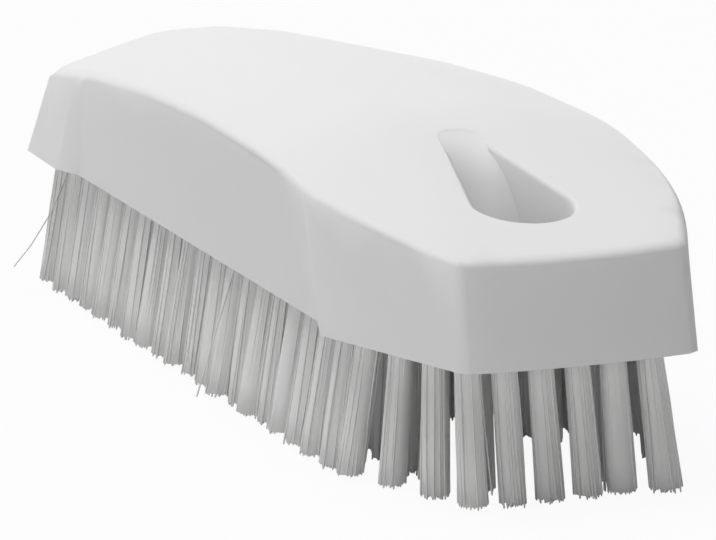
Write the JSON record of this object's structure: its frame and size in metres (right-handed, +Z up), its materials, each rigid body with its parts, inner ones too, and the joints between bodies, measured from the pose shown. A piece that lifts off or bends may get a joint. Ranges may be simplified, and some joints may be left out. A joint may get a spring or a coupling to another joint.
{
  "type": "nail brush",
  "caption": "White nail brush: an arched, faceted plastic block with finger grips and a teardrop hanging eye in its sloping end, and stiff bristle tufts stapled into blind holes underneath.",
  "frame": {"origin": "centre of the footprint on the plane of the bristle tips", "axes": "+X along the block towards the end with the hanging eye, +Y across the block, +Z up from the bristle tips to the arched back"},
  "size_m": [0.118, 0.041, 0.0336],
  "materials": {
    "block_plastic": "satin",
    "bristle": "matte",
    "staple": "satin"
  },
  "bodies": {
    "root": {"brush_block": "block_plastic", "tuft_row_01": "bristle", "staple_row_01": "staple", "tuft_row_02": "bristle", "staple_row_02": "staple", "tuft_row_03": "bristle", "staple_row_03": "staple", "tuft_row_04": "bristle", "staple_row_04": "staple", "tuft_row_05": "bristle", "staple_row_05": "staple", "tuft_row_06": "bristle", "staple_row_06": "staple", "tuft_row_07": "bristle", "staple_row_07": "staple", "tuft_row_08": "bristle", "staple_row_08": "staple", "tuft_row_09": "bristle", "staple_row_09": "staple", "tuft_row_10": "bristle", "staple_row_10": "staple", "tuft_row_11": "bristle", "staple_row_11": "staple", "tuft_row_12": "bristle", "staple_row_12": "staple", "tuft_row_13": "bristle", "staple_row_13": "staple", "tuft_row_14": "bristle", "staple_row_14": "staple", "tuft_row_15": "bristle", "staple_row_15": "staple", "tuft_row_16": "bristle", "staple_row_16": "staple", "tuft_row_17": "bristle", "staple_row_17": "staple", "tuft_row_18": "bristle", "staple_row_18": "staple", "tuft_row_19": "bristle", "staple_row_19": "staple", "tuft_row_20": "bristle", "staple_row_20": "staple", "tuft_row_21": "bristle", "staple_row_21": "staple", "tuft_row_22": "bristle", "staple_row_22": "staple", "tuft_row_23": "bristle", "staple_row_23": "staple", "tuft_row_24": "bristle", "staple_row_24": "staple"}
  },
  "joints": []
}
